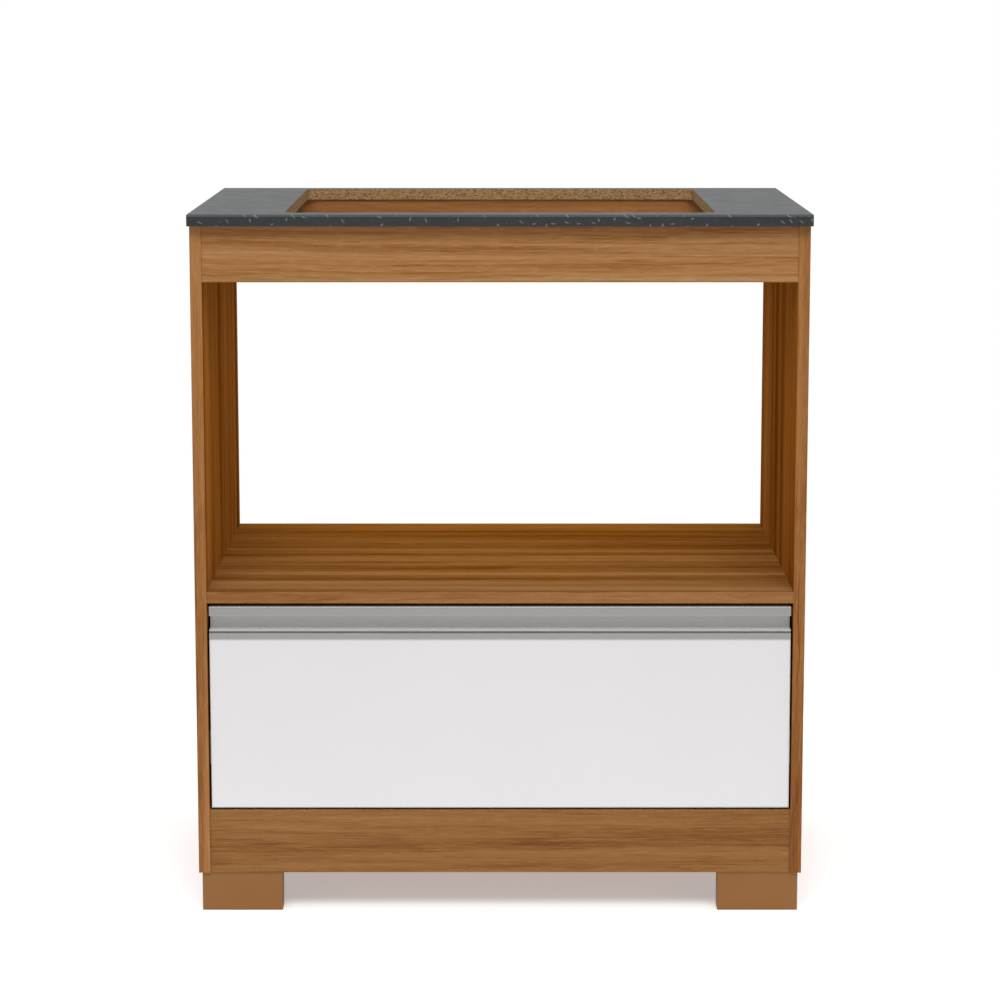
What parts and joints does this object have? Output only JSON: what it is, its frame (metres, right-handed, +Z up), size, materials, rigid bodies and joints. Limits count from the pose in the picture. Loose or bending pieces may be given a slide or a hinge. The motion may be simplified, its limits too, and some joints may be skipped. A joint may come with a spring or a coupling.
{
  "type": "cooktop base cabinet",
  "caption": "Base cabinet for a built-in hob: worktop with a hob cut-out, open oven niche and one deep drawer on ball-bearing slides, on corner feet.",
  "frame": {"origin": "on the floor under the middle of the worktop", "axes": "+Z up, the drawer's front faces -Y, +X to the right seen from the front"},
  "size_m": [0.8, 0.532, 0.923],
  "materials": {
    "wood_print": "satin wood-print laminate, grain along each board",
    "edge_band": "satin wood-print edge band",
    "worktop_laminate": "dark granite-look laminate, slightly rough",
    "white_board": "matt white laminate",
    "handle_aluminium": "anodised, fine lines along the profile",
    "foot_plastic": "brown moulded plastic",
    "hardboard": "bare hardboard with a printed inner face",
    "zinc_steel": "zinc-plated",
    "cam_zinc": "die-cast zinc",
    "ball_steel": "polished",
    "dowel_wood": "plain beech",
    "buffer_rubber": "black rubber",
    "lever_plastic": "black moulded plastic",
    "cover_plastic": "brown moulded plastic",
    "white_plastic": "white moulded plastic",
    "cage_steel": "thin zinc-plated sheet"
  },
  "bodies": {
    "carcass": {"worktop": "worktop_laminate", "side_panel_left": "wood_print", "side_panel_right": "wood_print", "top_rail_front": "wood_print", "top_rail_back": "wood_print", "niche_shelf": "wood_print", "base_panel": "wood_print", "plinth_front": "wood_print", "plinth_back": "wood_print", "back_panel": "hardboard", "back_panel_nails": "zinc_steel", "foot_front_left": "foot_plastic", "foot_front_right": "foot_plastic", "foot_rear_left": "foot_plastic", "foot_rear_right": "foot_plastic", "foot_screws": "zinc_steel", "edge_bands_carcass": "edge_band", "cam_housings": "cam_zinc", "cam_bolts": "zinc_steel", "dowels": "dowel_wood", "cam_covers": "cover_plastic", "worktop_brackets": "zinc_steel", "worktop_bracket_screws": "zinc_steel", "slide_buffers": "buffer_rubber", "slide_screws_cabinet": "zinc_steel", "slide_outer_left": "zinc_steel", "slide_outer_right": "zinc_steel"},
    "drawer": {"drawer_front": "white_board", "drawer_handle": "handle_aluminium", "drawer_side_left": "white_board", "drawer_side_right": "white_board", "drawer_back": "white_board", "drawer_bottom": "hardboard", "edge_bands_drawer": "white_board", "slide_inner_left": "zinc_steel", "slide_inner_right": "zinc_steel", "slide_screws_drawer": "zinc_steel", "handle_screws": "zinc_steel", "drawer_cam_housings": "cam_zinc", "drawer_cam_bolts": "zinc_steel", "drawer_cam_covers": "white_plastic", "drawer_dowels": "dowel_wood", "drawer_back_screws": "zinc_steel", "drawer_bottom_nails": "zinc_steel", "lever_rivets": "zinc_steel"},
    "middle_left": {"slide_middle_left": "zinc_steel"},
    "cage_outer_left": {"ball_cage_outer_left": "cage_steel", "balls_outer_left": "ball_steel"},
    "cage_inner_left": {"ball_cage_inner_left": "cage_steel", "balls_inner_left": "ball_steel"},
    "lever_left": {"slide_lever_left": "lever_plastic"},
    "middle_right": {"slide_middle_right": "zinc_steel"},
    "cage_outer_right": {"ball_cage_outer_right": "cage_steel", "balls_outer_right": "ball_steel"},
    "cage_inner_right": {"ball_cage_inner_right": "cage_steel", "balls_inner_right": "ball_steel"},
    "lever_right": {"slide_lever_right": "lever_plastic"}
  },
  "joints": [
    {"name": "drawer_slide", "type": "slide", "parent": "carcass", "child": "drawer", "axis": [0, -1, 0], "range_m": [0, 0.44]},
    {"name": "middle_left_slide", "type": "slide", "parent": "carcass", "child": "middle_left", "axis": [0, -1, 0], "range_m": [0, 0.22]},
    {"name": "cage_outer_left_slide", "type": "slide", "parent": "carcass", "child": "cage_outer_left", "axis": [0, -1, 0], "range_m": [0, 0.11]},
    {"name": "cage_inner_left_slide", "type": "slide", "parent": "carcass", "child": "cage_inner_left", "axis": [0, -1, 0], "range_m": [0, 0.33]},
    {"name": "lever_left_hinge", "type": "hinge", "parent": "drawer", "child": "lever_left", "pos_m": [-0.3742, -0.0105, 0.217], "axis": [1, 0, 0], "range_deg": [0, 7], "stiffness_Nm_per_rad": 0.2},
    {"name": "middle_right_slide", "type": "slide", "parent": "carcass", "child": "middle_right", "axis": [0, -1, 0], "range_m": [0, 0.22]},
    {"name": "cage_outer_right_slide", "type": "slide", "parent": "carcass", "child": "cage_outer_right", "axis": [0, -1, 0], "range_m": [0, 0.11]},
    {"name": "cage_inner_right_slide", "type": "slide", "parent": "carcass", "child": "cage_inner_right", "axis": [0, -1, 0], "range_m": [0, 0.33]},
    {"name": "lever_right_hinge", "type": "hinge", "parent": "drawer", "child": "lever_right", "pos_m": [0.3742, -0.0105, 0.217], "axis": [-1, 0, 0], "range_deg": [0, 7], "stiffness_Nm_per_rad": 0.2}
  ],
  "couplings": [
    {"joint": "middle_left_slide", "follows": "drawer_slide", "ratio": 0.5},
    {"joint": "cage_outer_left_slide", "follows": "drawer_slide", "ratio": 0.25},
    {"joint": "cage_inner_left_slide", "follows": "drawer_slide", "ratio": 0.75},
    {"joint": "middle_right_slide", "follows": "drawer_slide", "ratio": 0.5},
    {"joint": "cage_outer_right_slide", "follows": "drawer_slide", "ratio": 0.25},
    {"joint": "cage_inner_right_slide", "follows": "drawer_slide", "ratio": 0.75}
  ]
}
